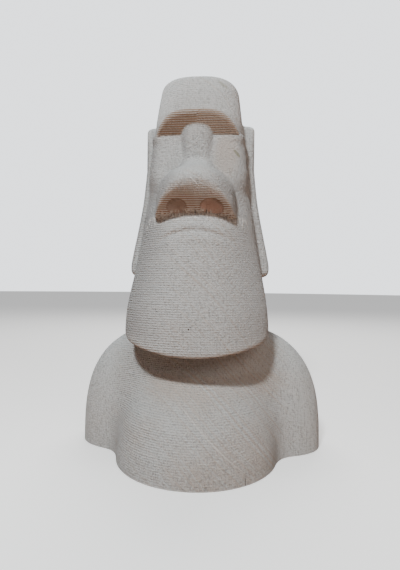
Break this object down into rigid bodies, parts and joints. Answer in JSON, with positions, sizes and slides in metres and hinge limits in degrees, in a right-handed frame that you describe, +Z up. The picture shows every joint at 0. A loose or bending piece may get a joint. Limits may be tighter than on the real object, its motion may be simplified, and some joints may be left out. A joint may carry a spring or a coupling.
{
  "type": "wooden moai bust",
  "caption": "Pale wooden moai bust with a heavy brow, broad nose, long slab ears and jutting chin, on a round chest between two shoulders, cut off flat below.",
  "frame": {"origin": "centre of the flat underside", "axes": "+Z up from the underside to the crown, the face looks along -Y, and the figure's left ear is on +X"},
  "size_m": [0.168, 0.119, 0.24],
  "materials": {
    "wood": "matte"
  },
  "bodies": {
    "root": {"moai_bust": "wood"}
  },
  "joints": []
}
